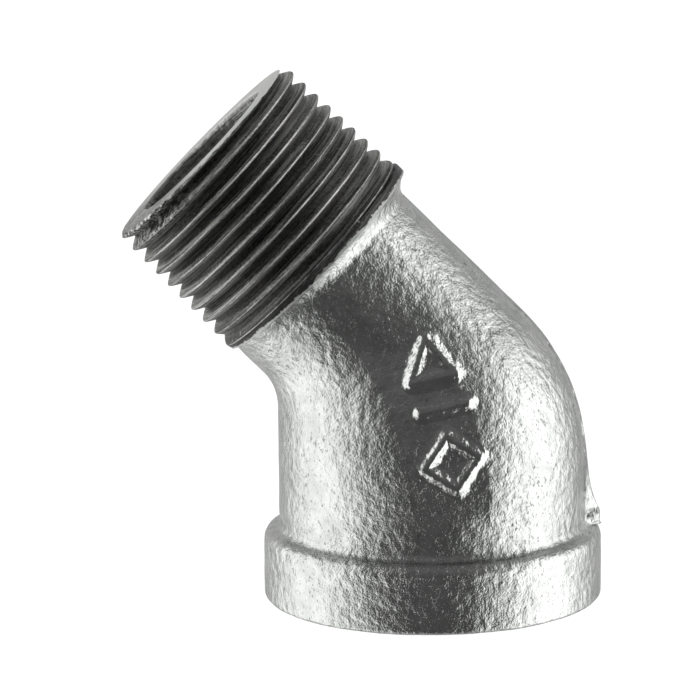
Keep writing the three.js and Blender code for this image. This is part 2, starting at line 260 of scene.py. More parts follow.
def ring_mesh(name, rings, skin_rows):
    """A closed tube of rings, the last joined to the first. Its first rows are the cast skin."""
    rows, around = rings.shape[:2]
    index = np.arange(rows * around).reshape(rows, around)
    right = np.roll(index, -1, axis=1)
    up = np.roll(index, -1, axis=0)
    corner = np.roll(up, -1, axis=1)
    faces = np.stack([index, right, corner, up], axis=-1).reshape(-1, 4)
    mesh = bpy.data.meshes.new(name)
    mesh.from_pydata((rings.reshape(-1, 3) * MM).tolist(), [], faces.tolist())
    skin = np.zeros((rows, around), np.float32)
    skin[:skin_rows] = 1
    mesh.attributes.new("skin", "FLOAT", "POINT").data.foreach_set("value", skin.ravel())
    outward = np.zeros((rows, around, 3), np.float32)
    outward[:skin_rows] = surface_normals(rings[:skin_rows])
    mesh.attributes.new("outward", "FLOAT_VECTOR", "POINT").data.foreach_set(
        "vector", outward.ravel()
    )
    mesh.shade_smooth()
    return mesh


def surface_normals(rings):
    """The outward normal at each point of a stack of rings."""
    around = np.roll(rings, -1, axis=1) - np.roll(rings, 1, axis=1)
    along = np.gradient(rings, axis=0)
    normal = np.cross(around, along)
    return normal / np.maximum(np.linalg.norm(normal, axis=-1, keepdims=True), 1e-9)


def turned_rings(outline, around, centre=(0, 0)):
    """Rings of a solid of revolution about +Z from its (radius, height) outline."""
    angle = np.linspace(0, 2 * math.pi, around, endpoint=False)
    outline = np.asarray(outline, float)
    return np.stack(
        [
            centre[0] + outline[:, :1] * np.cos(angle),
            centre[1] + outline[:, :1] * np.sin(angle),
            np.repeat(outline[:, 1:], around, axis=1),
        ],
        axis=-1,
    )


def densify(points, spacing):
    """The same open outline with points no further apart than the spacing."""
    dense = []
    for a, b in zip(points, points[1:]):
        a, b = np.asarray(a, float), np.asarray(b, float)
        steps = max(1, math.ceil(np.linalg.norm(b - a) / spacing))
        dense += [a + (b - a) * step / steps for step in range(steps)]
    return np.array([*dense, points[-1]])


def quarter(radius, height, ease, start, end, steps=8):
    """Points round a corner's easing."""
    turns = np.linspace(start, end, steps + 1)
    return [(radius + ease * math.cos(t), height + ease * math.sin(t)) for t in turns]


def place(name, mesh):
    piece = bpy.data.objects.new(name, mesh)
    bpy.context.scene.collection.objects.link(piece)
    return piece


def bake_modifier(piece):
    """The piece's mesh as its modifiers leave it, with the modifiers gone."""
    graph = bpy.context.evaluated_depsgraph_get()
    mesh = bpy.data.meshes.new_from_object(piece.evaluated_get(graph))
    piece.modifiers.clear()
    piece.data = mesh
    mesh.set_sharp_from_angle(angle=math.radians(CREASE))
    return piece


# ---------------------------------------------------------------- node trees

FLOAT, COUNT, GEOMETRY = "NodeSocketFloat", "NodeSocketInt", "NodeSocketGeometry"


class Sheet:
    """A node tree that formulas are written on. Sockets, numbers and vectors are all values."""

    def __init__(self, tree):
        self.tree = tree

    def node(self, kind, *values, out=0, **settings):
        node = self.tree.nodes.new(kind)
        for key, value in settings.items():
            setattr(node, key, value)
        for socket, value in zip([s for s in node.inputs if s.enabled], values):
            self.feed(socket, value)
        enabled = [s for s in node.outputs if s.enabled]
        return enabled[out] if isinstance(out, int) else node

    def feed(self, socket, value):
        if value is None:
            return
        if isinstance(value, bpy.types.NodeSocket):
            self.tree.links.new(value, socket)
        else:
            socket.default_value = value

    def math(self, operation, *values):
        return self.node("ShaderNodeMath", *values, operation=operation)

    def add(self, *values):
        return self.math("ADD", *values)

    def sub(self, *values):
        return self.math("SUBTRACT", *values)

    def mul(self, *values):
        return self.math("MULTIPLY", *values)

    def over(self, *values):
        return self.math("DIVIDE", *values)

    def low(self, *values):
        return self.math("MINIMUM", *values)

    def high(self, *values):
        return self.math("MAXIMUM", *values)

    def ramp(self, value, start, end, low=0.0, high=1.0, kind="LINEAR"):
        """value from start..end to low..high, held at both ends."""
        return self.node(
            "ShaderNodeMapRange", value, start, end, low, high, interpolation_type=kind, clamp=True
        )

    def vector(self, *values):
        return self.node("ShaderNodeCombineXYZ", *values)

    def vector_math(self, operation, *values):
        return self.node("ShaderNodeVectorMath", *values, operation=operation)

    def scaled(self, vector, factor):
        node = self.node("ShaderNodeVectorMath", operation="SCALE", out="node")
        self.feed(node.inputs["Vector"], vector)
        self.feed(node.inputs["Scale"], factor)
        return node.outputs["Vector"]

    def noise(self, position, scale, detail=2.0, roughness=0.5, colour=False):
        node = self.node("ShaderNodeTexNoise", out="node")
        self.feed(node.inputs["Vector"], position)
        self.feed(node.inputs["Scale"], scale)
        self.feed(node.inputs["Detail"], detail)
        self.feed(node.inputs["Roughness"], roughness)
        return node.outputs["Color" if colour else "Fac"]

    def cells(self, position, scale):
        """How far each place is from the nearest of many scattered points."""
        node = self.node("ShaderNodeTexVoronoi", out="node")
        self.feed(node.inputs["Vector"], position)
        self.feed(node.inputs["Scale"], scale)
        return node.outputs["Distance"]


def open_tree(name, kind, inputs, outputs):
    """A new node tree with named sockets, and its Sheet, input sockets and output node."""
    tree = bpy.data.node_groups.new(name, kind)
    for label, (socket_type, default) in inputs.items():
        socket = tree.interface.new_socket(label, in_out="INPUT", socket_type=socket_type)
        if default is not None:
            socket.default_value = default
    for label, socket_type in outputs.items():
        tree.interface.new_socket(label, in_out="OUTPUT", socket_type=socket_type)
    entry = tree.nodes.new("NodeGroupInput")
    return tree, Sheet(tree), entry.outputs, tree.nodes.new("NodeGroupOutput")


def use_tree(piece, tree, **values):
    """The piece as the tree leaves it. Inputs go by their names, with _ for a space."""
    modifier = piece.modifiers.new(tree.name, "NODES")
    modifier.node_group = tree
    sockets = {
        item.name: item.identifier
        for item in tree.interface.items_tree
        if item.item_type == "SOCKET" and item.in_out == "INPUT"
    }
    for label, value in values.items():
        modifier[sockets[label.replace("_", " ")]] = value
    return bake_modifier(piece)


def finish_tree(sheet, geometry, result, material):
    """Every tree's ending: real geometry with its material."""
    real = sheet.node("GeometryNodeRealizeInstances", geometry)
    sheet.feed(result.inputs[0], sheet.node("GeometryNodeSetMaterial", real, True, material))


def sand_cast_tree():
    """Roughens a smooth cast skin: broad lumps, sand grain, clusters of pits, and the torn
    flash beside the heel's rib."""
    tree, s, given, result = open_tree(
        "sand_cast_skin",
        "GeometryNodeTree",
        {
            "Geometry": (GEOMETRY, None),
            "Lump Size": (FLOAT, 4.2),
            "Lump Height": (FLOAT, 0.16),
            "Grain Size": (FLOAT, 1.1),
            "Grain Height": (FLOAT, 0.035),
            "Pit Spacing": (FLOAT, 2.2),
            "Pit Depth": (FLOAT, 0.05),
            "Tear Depth": (FLOAT, 0.3),
            "Tear Width": (FLOAT, 0.4),
            "Material": ("NodeSocketMaterial", None),
        },
        {"Geometry": GEOMETRY},
    )
    skin = s.node("GeometryNodeInputNamedAttribute", "skin", data_type="FLOAT")
    outward = s.node("GeometryNodeInputNamedAttribute", "outward", data_type="FLOAT_VECTOR")
    place_mm = s.scaled(s.node("GeometryNodeInputPosition"), 1 / MM)
    lump = s.noise(place_mm, s.over(1.0, given["Lump Size"]), 2.0)
    grain = s.noise(place_mm, s.over(1.0, given["Grain Size"]), 3.0, 0.6)
    bent = s.vector_math("ADD", place_mm, s.noise(place_mm, 0.9, 1.0, colour=True))
    pit = s.cells(bent, s.over(1.0, given["Pit Spacing"]))
    cluster = s.ramp(s.noise(place_mm, 0.16, 2.0), 0.5, 0.62)
    hollow = s.mul(s.ramp(pit, 0.04, 0.13, 1.0, 0.0, "SMOOTHSTEP"), cluster)
    height = s.add(
        s.mul(s.sub(lump, 0.5), given["Lump Height"]),
        s.mul(s.sub(grain, 0.5), given["Grain Height"]),
    )
    parts = s.node("ShaderNodeSeparateXYZ", place_mm, out="node").outputs
    from_line = s.over(s.add(parts["Y"], TEAR_AT), given["Tear Width"])
    on_line = s.math("EXPONENT", s.mul(s.mul(from_line, from_line), -1.0))
    heel = s.ramp(parts["X"], AXIS_X + HEEL_FROM, AXIS_X + HEEL_FULL)
    torn = s.ramp(s.noise(place_mm, 0.75, 4.0, 0.75), 0.52, 0.6)
    tear = s.mul(s.mul(torn, on_line), heel)
    height = s.sub(height, s.mul(hollow, given["Pit Depth"]))
    height = s.sub(height, s.mul(tear, given["Tear Depth"]))
    offset = s.scaled(outward, s.mul(s.mul(height, skin), MM))
    moved = s.node("GeometryNodeSetPosition", given["Geometry"], None, None, offset)
    stored = s.node(
        "GeometryNodeStoreNamedAttribute", moved, None, "pit", s.high(hollow, tear),
        data_type="FLOAT", domain="POINT",
    )
    finish_tree(s, stored, result, given["Material"])
    return tree


THREAD_INPUTS = {
    "Geometry": (GEOMETRY, None),
    "Around": (COUNT, 300),
    "Per Pitch": (COUNT, 18),
    "Pitch": (FLOAT, PITCH),
    "Taper": (FLOAT, TAPER),
    "Depth": (FLOAT, THREAD_DEPTH),
    "Crest Roundness": (FLOAT, 0.2),
    "From": (FLOAT, 0.0),
    "To": (FLOAT, 15.0),
    "Ridge At": (FLOAT, 0.0),
    "Crest Radius": (FLOAT, 13.0),
    "Crest Radius At": (FLOAT, 0.0),
    "Chamfer Radius": (FLOAT, 13.0),
    "Chamfer At": (FLOAT, 0.0),
    "Internal": (FLOAT, 0.0),
    "Run-out": (FLOAT, 0.0),
    "Rim Radius": (FLOAT, 0.0),
    "Rim Offset": (FLOAT, 0.0),
    "Rim To": (FLOAT, NO_RIM),
    "Wall Radius": (FLOAT, 9.0),
    "Wall Chamfer": (FLOAT, 0.4),
    "Wall Steps": (COUNT, 60),
    "Nick Depth": (FLOAT, 0.12),
    "Burr": (FLOAT, 0.35),
    "Wall Grain": (FLOAT, 0.3),
    "Lip Wear": (FLOAT, 0.15),
    "End Wear": (FLOAT, 0.0),
    "Material": ("NodeSocketMaterial", None),
}


def thread_rows(s, given):
    """The grid that a threaded wall is bent from, and the place of each of its points.

    Its first rows follow the helix, so that the crest is a clean line, and are cut off at both
    ends. The rest go back down the plain wall, and the last row closes the skin.
    """
    pitch, low_end, high_end = given["Pitch"], given["From"], given["To"]
    step = s.over(pitch, given["Per Pitch"])
    spare = s.math("CEIL", s.over(s.sub(given["Ridge At"], low_end), pitch))
    start = s.sub(given["Ridge At"], s.mul(s.add(spare, 1.0), pitch))
    wall_from = s.add(s.math("CEIL", s.over(s.sub(high_end, start), step)), 1.0)
    rows = s.add(s.add(wall_from, given["Wall Steps"]), 1.0)

    grid = s.node("GeometryNodeMeshGrid", 1.0, 1.0, s.add(given["Around"], 1.0), rows)
    spot = s.node("ShaderNodeSeparateXYZ", s.node("GeometryNodeInputPosition"), out="node").outputs
    turn = s.add(spot["X"], 0.5)
    row = s.math("ROUND", s.mul(s.add(spot["Y"], 0.5), s.sub(rows, 1.0)))
    on_thread = s.math("LESS_THAN", row, s.sub(wall_from, 0.5))
    on_wall = s.sub(row, wall_from)

    climb = s.add(s.add(start, s.mul(row, step)), s.mul(turn, pitch))
    thread_height = s.high(s.low(climb, high_end), low_end)
    eased = s.mul(given["Wall Chamfer"], s.low(on_wall, 1.0))
    share = s.ramp(on_wall, 1.0, s.sub(given["Wall Steps"], 1.0))
    wall_top = s.sub(high_end, given["Wall Chamfer"])
    wall_height = s.sub(s.sub(high_end, eased), s.mul(share, s.sub(wall_top, low_end)))
    height = s.node("GeometryNodeSwitch", on_thread, wall_height, thread_height, input_type="FLOAT")

    angle = s.mul(turn, 2 * math.pi)
    outward = s.vector(s.math("COSINE", angle), s.math("SINE", angle), 0.0)
    raised = s.vector(0.0, 0.0, height)
    return SimpleNamespace(
        grid=grid,
        turn=turn,
        angle=angle,
        height=height,
        outward=outward,
        raised=raised,
        noise_spot=s.vector_math("ADD", s.scaled(outward, given["Crest Radius"]), raised),
        on_thread=on_thread,
        on_wall=on_wall,
        eased=eased,
        last=s.math("GREATER_THAN", on_wall, s.sub(given["Wall Steps"], 0.5)),
    )


def ridge_form(s, given, at):
    """Which ridge a point belongs to, how many pitches it is from that ridge's crest, and how
    deep it is cut: 0 on the crest, 1 in the root."""
    wound = s.sub(s.over(s.sub(at.height, given["Ridge At"]), given["Pitch"]), at.turn)
    ridge = s.math("FLOOR", s.add(wound, 0.5))
    from_ridge = s.sub(wound, ridge)
    from_crest = s.mul(s.math("ABSOLUTE", from_ridge), 2.0)
    blunt = given["Crest Roundness"]
    rounded = s.math("SQRT", s.add(s.mul(from_crest, from_crest), s.mul(blunt, blunt)))
    full = s.math("SQRT", s.add(1.0, s.mul(blunt, blunt)))
    return ridge, from_ridge, s.over(s.sub(rounded, blunt), s.sub(full, blunt))


def end_knock(s, given, at):
    """How much a point lies in the knocked stretch of the thread's end, from 0 to 1."""
    near_end = s.ramp(
        at.height,
        s.sub(given["To"], s.mul(given["Pitch"], KNOCK_START)),
        s.sub(given["To"], s.mul(given["Pitch"], KNOCK_FULL)),
    )
    beside = s.math("ABSOLUTE", s.sub(at.turn, KNOCKED_TURN))
    return s.mul(near_end, s.ramp(beside, KNOCK_CORE, KNOCK_REACH, 1.0, 0.0))


def cut_radius(s, given, at, sunk, knocked):
    """The radius of the threaded face, with its nicks, run-out, rim and end chamfer."""
    narrowing = s.mul(s.sub(given["Crest Radius At"], at.height), given["Taper"])
    crest = s.add(given["Crest Radius"], narrowing)
    run_out_end = s.add(s.add(given["From"], given["Run-out"]), 0.001)
    worked = s.ramp(at.height, given["From"], run_out_end, 0.15, 1.0)
    chip = s.ramp(s.noise(at.noise_spot, 0.8, 5.0, 0.75), 0.57, 0.72)
    chip_depth = s.add(given["Nick Depth"], s.mul(knocked, given["End Wear"]))
    nick = s.mul(s.mul(chip, chip_depth), s.sub(1.0, sunk))
    plain = s.sub(crest, s.add(s.mul(s.mul(given["Depth"], worked), sunk), nick))

    rim_from = s.sub(given["Rim To"], 0.35)
    rim_here = s.ramp(at.height, rim_from, given["Rim To"], 1.0, 0.0, "SMOOTHSTEP")
    off_centre = s.mul(given["Rim Offset"], s.math("COSINE", at.angle))
    threaded = s.high(plain, s.mul(s.add(given["Rim Radius"], off_centre), rim_here))

    away = s.math("ABSOLUTE", s.sub(at.height, given["Chamfer At"]))
    ragged = s.ramp(s.noise(at.noise_spot, 1.3, 4.0, 0.7), 0.52, 0.66, 0.0, given["Burr"])
    away = s.sub(away, s.mul(ragged, s.ramp(away, 0.1, 1.0, 1.0, 0.0)))
    outer = s.low(threaded, s.add(given["Chamfer Radius"], away))
    inner = s.high(threaded, s.sub(given["Chamfer Radius"], away))
    return s.node("GeometryNodeSwitch", given["Internal"], outer, inner, input_type="FLOAT")


def plain_radius(s, given, at):
    """The radius of the plain wall behind the thread, with its grain and its worn lip."""
    rough = s.mul(s.sub(s.noise(at.noise_spot, 1.1, 4.0, 0.65), 0.5), given["Wall Grain"])
    wall = s.add(
        s.sub(s.add(given["Wall Radius"], given["Wall Chamfer"]), at.eased),
        s.mul(rough, s.mul(s.ramp(at.on_wall, 1.0, 3.0), 2.0)),
    )
    torn = s.ramp(s.noise(at.noise_spot, 1.0, 4.0, 0.75), 0.5, 0.62, 0.0, given["Lip Wear"])
    return s.add(wall, s.mul(torn, s.ramp(at.on_wall, 1.0, 2.0, 1.0, 0.0)))


def taper_thread_tree():
    """A taper-threaded wall about +Z, made as one closed skin: the threaded face, then the plain
    wall behind it."""
    tree, s, given, result = open_tree(
        "taper_thread", "GeometryNodeTree", THREAD_INPUTS, {"Geometry": GEOMETRY}
    )
    at = thread_rows(s, given)
    ridge, from_ridge, sunk = ridge_form(s, given, at)
    knocked = end_knock(s, given, at)
    radius = s.node(
        "GeometryNodeSwitch", s.high(at.on_thread, at.last), plain_radius(s, given, at),
        cut_radius(s, given, at, sunk, knocked), input_type="FLOAT",
    )

    geometry = at.grid
    marks = {
        "crest": s.mul(s.sub(1.0, sunk), at.on_thread),
        "from_ridge": s.mul(from_ridge, given["Pitch"]),
        "wound": s.add(at.turn, ridge),
        "on_wall": s.ramp(at.on_wall, 0.5, 1.5),
        "end_face": s.high(
            s.ramp(at.height, s.sub(given["To"], 0.02), s.sub(given["To"], 0.01)),
            s.ramp(at.height, s.add(given["From"], 0.01), s.add(given["From"], 0.02), 1.0, 0.0),
        ),
        "past_rim": s.sub(at.height, given["Rim To"]),
        "knocked": s.mul(knocked, s.math("GREATER_THAN", given["End Wear"], 0.0)),
    }
    for label, value in marks.items():
        geometry = s.node(
            "GeometryNodeStoreNamedAttribute", geometry, None, label, value,
            data_type="FLOAT", domain="POINT",
        )
    final = s.scaled(s.vector_math("ADD", s.scaled(at.outward, radius), at.raised), MM)
    moved = s.node("GeometryNodeSetPosition", geometry, None, final)
    merged = s.node("GeometryNodeMergeByDistance", moved, None, 0.002 * MM)
    finish_tree(s, merged, result, given["Material"])
    return tree


# ---------------------------------------------------------------- shared surface effects


def object_mm(sheet):
    """Object coordinates in millimetres."""
    coordinates = sheet.node("ShaderNodeTexCoord", out="node").outputs["Object"]
    return sheet.scaled(coordinates, 1 / MM)


def grain_group():
    """Cast metal's fine grain, with streaky dents and flecks, from a position in millimetres."""
    tree, s, given, result = open_tree(
        "metal_grain",
        "ShaderNodeTree",
        {
            "Position": ("NodeSocketVector", None),
            "Size": (FLOAT, 0.2),
            "Mark Size": (FLOAT, 0.5),
            "Dents": (FLOAT, 0.5),
            "Flecks": (FLOAT, 0.5),
        },
        {"Height": FLOAT, "Dents": FLOAT, "Flecks": FLOAT},
    )
    scale = s.over(1.0, given["Size"])
    fine = s.noise(given["Position"], scale, 3.0, 0.6)
    s.feed(result.inputs["Height"], fine)
    turned = s.node(
        "ShaderNodeVectorRotate", given["Position"], None, None, STREAK_ANGLE,
        rotation_type="Y_AXIS",
    )
    stretched = s.vector_math("MULTIPLY", turned, (1.0, 1.0, STREAK_STRETCH))
    marks = s.noise(stretched, s.over(1.0, given["Mark Size"]), 3.0, 0.6)
    cluster = s.sub(s.noise(given["Position"], 0.2, 2.0), 0.5)
    edge = s.sub(s.sub(0.78, s.mul(given["Dents"], 0.2)), s.mul(cluster, 0.22))
    s.feed(result.inputs["Dents"], s.ramp(marks, edge, s.add(edge, 0.1)))
    edge = s.add(s.add(0.22, s.mul(given["Flecks"], 0.2)), s.mul(cluster, 0.12))
    s.feed(result.inputs["Flecks"], s.ramp(marks, s.sub(edge, 0.12), edge, 1.0, 0.0))
    return tree


def group(sheet, tree, **values):
    node = sheet.tree.nodes.new("ShaderNodeGroup")
    node.node_tree = tree
    for label, value in values.items():
        sheet.feed(node.inputs[label.replace("_", " ")], value)
    return node.outputs


def new_material(name):
    material = bpy.data.materials.new(name)
    material.use_nodes = True
    shader = material.node_tree.nodes["Principled BSDF"]
    return material, Sheet(material.node_tree), shader


def mix_colour(sheet, factor, a, b):
    node = sheet.tree.nodes.new("ShaderNodeMix")
    node.data_type = "RGBA"
    sheet.feed(node.inputs["Factor"], factor)
    sheet.feed(node.inputs["A"], a)
    sheet.feed(node.inputs["B"], b)
    return node.outputs["Result"]


def bump(sheet, height, distance):
    node = sheet.tree.nodes.new("ShaderNodeBump")
    sheet.feed(node.inputs["Height"], height)
    sheet.feed(node.inputs["Distance"], distance)
    sheet.feed(node.inputs["Strength"], 1.0)
    return node.outputs["Normal"]


def attribute(sheet, name):
    return sheet.node("ShaderNodeAttribute", out="node", attribute_name=name).outputs["Fac"]


def zinc_material(grain):
    material, s, shader = new_material("hot_dip_zinc")
    place_mm = object_mm(s)
    out = group(s, grain, Position=place_mm, Size=0.21, Mark_Size=0.36, Dents=0.85, Flecks=0.35)
    patch = s.ramp(s.noise(place_mm, 0.35, 3.0, 0.6), 0.42, 0.62)
    colour = mix_colour(s, patch, ZINC, DULL_ZINC)
    dark = s.high(s.mul(attribute(s, "pit"), 0.8), s.mul(out["Dents"], 0.6))
    s.feed(shader.inputs["Base Color"], mix_colour(s, dark, colour, PIT_GREY))
    s.feed(shader.inputs["Metallic"], 1.0)
    s.feed(shader.inputs["Roughness"], s.ramp(s.noise(place_mm, 0.9, 3.0), 0.3, 0.7, 0.1, 0.22))
    crumple = s.noise(place_mm, 1.0, 2.0, 0.5)
    height = s.add(out["Height"], s.mul(s.sub(out["Flecks"], out["Dents"]), 0.3))
    height = s.mul(height, s.ramp(attribute(s, "relief"), 0.0, 1.0, 1.0, 0.25))
    height = s.add(height, s.mul(crumple, 3.0))
    s.feed(shader.inputs["Normal"], bump(s, height, ZINC_BUMP * MM))
    return material


def thread_material(grain):
    material, s, shader = new_material("cut_thread_iron")
    place_mm = object_mm(s)
    out = group(s, grain, Position=place_mm, Size=0.25, Mark_Size=0.5, Dents=0.3, Flecks=0.75)
    crest, from_ridge, wound = (attribute(s, n) for n in ("crest", "from_ridge", "wound"))
    face, wall = attribute(s, "end_face"), attribute(s, "on_wall")
    past_rim, knocked = attribute(s, "past_rim"), attribute(s, "knocked")
    wander = s.noise(place_mm, 0.4, 5.0, 0.8)
    lines = s.noise(s.vector(from_ridge, s.mul(wound, 1.3), 0.0), 3.8, 3.0, 0.75)
    # Painted highlight: a thin, ragged bright line along each thread crest, standing in for the
    # crest's glint
    crest_glint = s.ramp(s.add(crest, s.mul(s.sub(wander, 0.5), 0.1)), 0.975, 1.01)
    scuff = s.mul(out["Flecks"], s.ramp(wander, 0.4, 0.62, 0.1, 0.8))
    streaks = s.add(s.mul(lines, 0.75), s.mul(out["Height"], 0.25))
    tone = mix_colour(s, s.ramp(streaks, 0.45, 0.56), BLACK_IRON, DARK_IRON)
    rough_wall = s.mul(wall, s.ramp(s.noise(place_mm, 1.4, 4.0, 0.7), 0.42, 0.62, 0.2, 1.0))
    face_tone = s.mul(face, s.ramp(out["Height"], 0.35, 0.65, 0.8, 1.0))
    # Bright base colour: bare metal on the end face, scuffs, bore grain and chips, plus the painted
    # crest highlight
    bare_metal_and_glint = s.high(s.high(s.mul(crest_glint, 0.85), scuff), face_tone)
    bare_metal_and_glint = s.mul(bare_metal_and_glint, s.sub(1.0, wall))
    bare_metal_and_glint = s.high(bare_metal_and_glint, s.mul(rough_wall, 0.35))
    uncut = s.ramp(past_rim, -0.15, 0.65, 0.85, 0.0)
    chips = s.ramp(s.noise(place_mm, 1.7, 5.0, 0.75), 0.5, 0.55)
    chipped = s.mul(s.mul(chips, knocked), 0.8)
    bare_metal_and_glint = s.high(s.mul(bare_metal_and_glint, s.sub(1.0, s.mul(knocked, 0.7))), chipped)
    tone = mix_colour(s, s.high(uncut, knocked), tone, SCALE_BLACK)
    tone = mix_colour(s, bare_metal_and_glint, tone, BRIGHT_IRON_AND_GLINT)
    edge = s.add(past_rim, s.mul(s.sub(wander, 0.5), 1.6))
    run_over = s.mul(s.ramp(edge, -1.15, -1.05, 1.0, 0.0), s.sub(1.0, wall))
    s.feed(shader.inputs["Base Color"], mix_colour(s, run_over, tone, ZINC))
    s.feed(shader.inputs["Metallic"], 1.0)
    s.feed(shader.inputs["Roughness"], s.ramp(s.high(bare_metal_and_glint, run_over), 0.0, 1.0, 0.38, 0.52))
    height = s.add(out["Height"], s.mul(lines, 0.8))
    s.feed(shader.inputs["Normal"], bump(s, height, THREAD_BUMP * MM))
    return material


# ---------------------------------------------------------------- pieces


def cast_piece(name, rings, skin_rows, skin_tree, zinc):
    """A region of the casting, with its outer rows roughened."""
    return use_tree(place(name, ring_mesh(name, rings, skin_rows)), skin_tree, Material=zinc)


def cast_body(skin_tree, zinc):
    foot = FOOT_SHARE * np.linspace(0, 1, FOOT_STEPS, endpoint=False) ** FOOT_CROWDING
    shares = np.concatenate([foot, np.linspace(FOOT_SHARE, 1, ALONG + 1)])
    outside = bent_tube(
        bend_side(-BODY_RADIUS, -NECK_THROAT, THROAT_FILLET, BAND_HEIGHT, NECK_END, shares),
        bend_side(BODY_RADIUS, NECK_HEEL, HEEL_RADIUS, BAND_HEIGHT, NECK_END, shares),
        AROUND,
        foot_flare,
    )
    inner_shares = np.linspace(1, 0, ALONG // 3)
    inside = bent_tube(
        bend_side(-CAVITY_RADIUS, -BORE_RADIUS, CAVITY_THROAT_FILLET, SOCKET_DEPTH, NECK_END,
                  inner_shares),
        bend_side(CAVITY_RADIUS, BORE_RADIUS, CAVITY_HEEL_RADIUS, SOCKET_DEPTH, NECK_END,
                  inner_shares),
        AROUND,
    )
    seat = turned_rings(
        [(SOCKET_RADIUS, SOCKET_DEPTH), (SOCKET_RADIUS, BAND_HEIGHT)], AROUND, (AXIS_X, 0)
    )
    rings = np.concatenate([outside, inside, seat])
    return cast_piece("cast_body_skin", rings, len(outside), skin_tree, zinc)


def socket_band(skin_tree, zinc):
    top = BAND_HEIGHT - BAND_TOP_EASE * math.sin(FOOT_TILT)
    wall = [
        *quarter(BAND_RADIUS - BAND_FOOT_EASE, BAND_FOOT_EASE, BAND_FOOT_EASE, -math.pi / 2, 0),
        *quarter(BAND_RADIUS - BAND_TOP_EASE, top, BAND_TOP_EASE, 0, FOOT_TILT),
    ]
    outline = densify(wall, BAND_SPACING)
    back = [(SOCKET_RADIUS, BAND_HEIGHT), (SOCKET_RADIUS, 0), (BAND_RADIUS - 2 * BAND_FOOT_EASE, 0)]
    rings = turned_rings(np.concatenate([outline, back]), AROUND, (AXIS_X, 0))
    return cast_piece("socket_band_skin", rings, len(outline), skin_tree, zinc)


def on_spigot(rings):
    """Turns rings about +Z into rings about the spigot's axis."""
    turn = np.array(Matrix.Rotation(-BEND, 3, "Y"))
    return rings @ turn.T + np.array(CENTRE)


def thread_shoulder(skin_tree, zinc):
    """The neck's last stretch, which spreads to the casting's off-centre rim."""
    share = np.linspace(0, 1, RIM_STEPS)
    spread = 1 - np.cos(share * math.pi / 2) ** RIM_FLARE
    height = NECK_END + (SHOULDER_TO - NECK_END) * share
    throat = NECK_THROAT + (RIM_RADIUS - RIM_OFFSET - NECK_THROAT) * spread
    heel = NECK_HEEL + (RIM_RADIUS + RIM_OFFSET - NECK_HEEL) * spread
    outside = np.array([
        turned_rings([((t + h) / 2, z)], AROUND, ((h - t) / 2, 0))[0]
        for t, h, z in zip(throat, heel, height)
    ])
    inside = turned_rings([(BORE_RADIUS, SHOULDER_TO), (BORE_RADIUS, NECK_END)], AROUND)
    rings = on_spigot(np.concatenate([outside, inside]))
    return cast_piece("thread_shoulder_skin", rings, len(share), skin_tree, zinc)


def flatten_ends(mesh):
    """Shades the faces that are square to a thread's axis flat."""
    for face in mesh.polygons:
        if abs(face.normal.z) > SQUARE_ON:
            face.use_smooth = False


def male_thread(tree, iron):
    piece = place("spigot_thread", bpy.data.meshes.new("spigot_thread"))
    use_tree(
        piece, tree, Around=360, From=SHOULDER_TO, To=SPIGOT_END, Ridge_At=FIRST_CREST,
        Crest_Radius=SPIGOT_END_RADIUS, Crest_Radius_At=SPIGOT_END,
        Chamfer_Radius=SPIGOT_END_RADIUS - END_CHAMFER, Chamfer_At=SPIGOT_END,
        **{"Run-out": RUN_OUT}, Rim_Radius=RIM_RADIUS, Rim_Offset=RIM_OFFSET, Rim_To=RIM_TO,
        Wall_Radius=BORE_RADIUS, End_Wear=KNOCK_DEPTH, Material=iron,
    )
    flatten_ends(piece.data)
    piece.data.transform(Matrix.Translation(CENTRE * MM) @ Matrix.Rotation(-BEND, 4, "Y"))
    return piece


def female_thread(tree, iron):
    piece = place("socket_thread", bpy.data.meshes.new("socket_thread"))
    use_tree(
        piece, tree, Around=240, Per_Pitch=14, From=0.0, To=SOCKET_DEPTH, Ridge_At=0.0,
        Crest_Radius=FEMALE_MAJOR, Crest_Radius_At=0.0, Chamfer_Radius=MOUTH_RADIUS,
        Chamfer_At=0.0, Internal=1.0, Wall_Radius=SOCKET_RADIUS, Wall_Chamfer=0.0,
        Wall_Steps=3, Nick_Depth=0.05, Wall_Grain=0.0, Burr=0.0, Lip_Wear=0.0,
        Material=iron,
    )
    flatten_ends(piece.data)
    piece.data.transform(Matrix.Translation((AXIS_X * MM, 0, 0)))
    piece.data.flip_normals()
    return piece


def lozenge_distance(x, z):
    """How far a point is from the line down the middle of the lozenge's strokes."""
    half = LOZENGE_MIDDLE / math.sqrt(2)
    across = (np.abs(x) + np.abs(z)) / math.sqrt(2)
    along = (np.abs(x) - np.abs(z)) / math.sqrt(2)
    return np.hypot(across - half, np.maximum(np.abs(along) - half, 0))


def bar_distance(x, z):
    return np.hypot(np.maximum(np.abs(x) - BAR_HALF_LENGTH, 0), z)


def triangle_distance(x, z):
    distance = np.full(x.shape, np.inf)
    corners = triangle_corners(TRIANGLE_MIDDLE, 0)
    for a, b in zip(corners, np.roll(corners, -1, axis=0)):
        side = b - a
        share = np.clip(((x - a[0]) * side[0] + (z - a[1]) * side[1]) / (side @ side), 0, 1)
        distance = np.minimum(
            distance, np.hypot(x - a[0] - share * side[0], z - a[1] - share * side[1])
        )
    return distance


def triangle_corners(radius, tilt):
    angle = math.pi / 2 + tilt + np.arange(3) * 2 * math.pi / 3
    return np.stack([radius * np.cos(angle), radius * np.sin(angle)], axis=-1)


def mark_place(node, distance):
    """The centre of a mark's shape, and half the side of a square that holds the mark."""
    low, high = (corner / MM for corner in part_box(node))
    centre = (low + high) / 2
    if distance is triangle_distance:  # its shape's centre is not the middle of its box
        corners = triangle_corners(1, MARK_TILT)
        size = (high.x - low.x) / np.ptp(corners[:, 0])
        off = (corners.max(axis=0) + corners.min(axis=0)) / 2 * size
        centre = centre - Vector((off[0], 0, off[1]))
    return centre, (high - low).length / 2 + MARK_REACH


